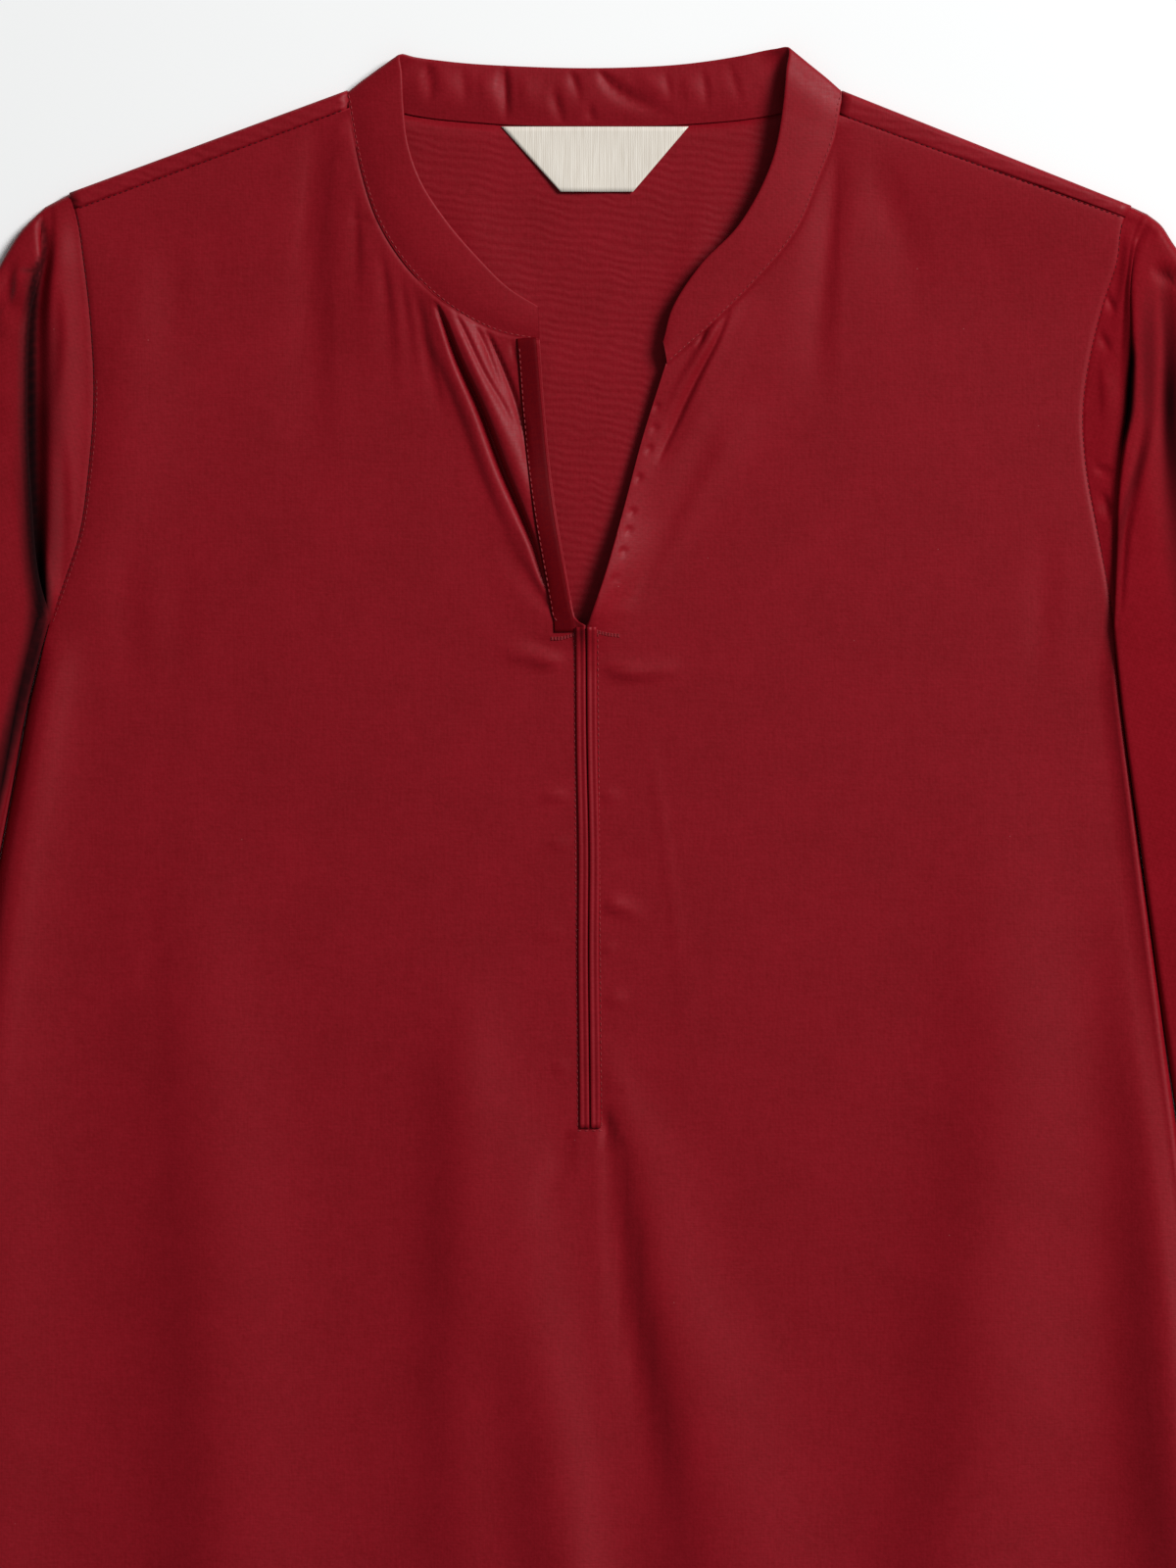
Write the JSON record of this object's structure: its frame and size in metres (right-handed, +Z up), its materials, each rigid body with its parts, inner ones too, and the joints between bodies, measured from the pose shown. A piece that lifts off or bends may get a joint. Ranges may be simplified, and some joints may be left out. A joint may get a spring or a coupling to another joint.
{
  "type": "kurta tunic",
  "caption": "Long A-line tunic laid flat, face up: stand collar over an open V slit that narrow welts close lower down, forward shoulder seams, plain three-quarter sleeves.",
  "frame": {"origin": "centre of the box round the garment, on the flat underside of the back that rests on the table", "axes": "+X across the garment to the wearer's left sleeve, +Y up the garment from the hem to the neck, +Z up from the table through the front"},
  "size_m": [0.697, 1.0007, 0.0132],
  "materials": {
    "red_cloth": "soft satin sheen, fine twill weave",
    "label_tape": "matt, fine ribs"
  },
  "bodies": {
    "root": {"back_body": "red_cloth", "front_body": "red_cloth", "sleeve_right": "red_cloth", "sleeve_left": "red_cloth", "neck_band": "red_cloth", "slit_strip": "red_cloth", "welt_right": "red_cloth", "welt_left": "red_cloth", "label": "label_tape"}
  },
  "joints": []
}
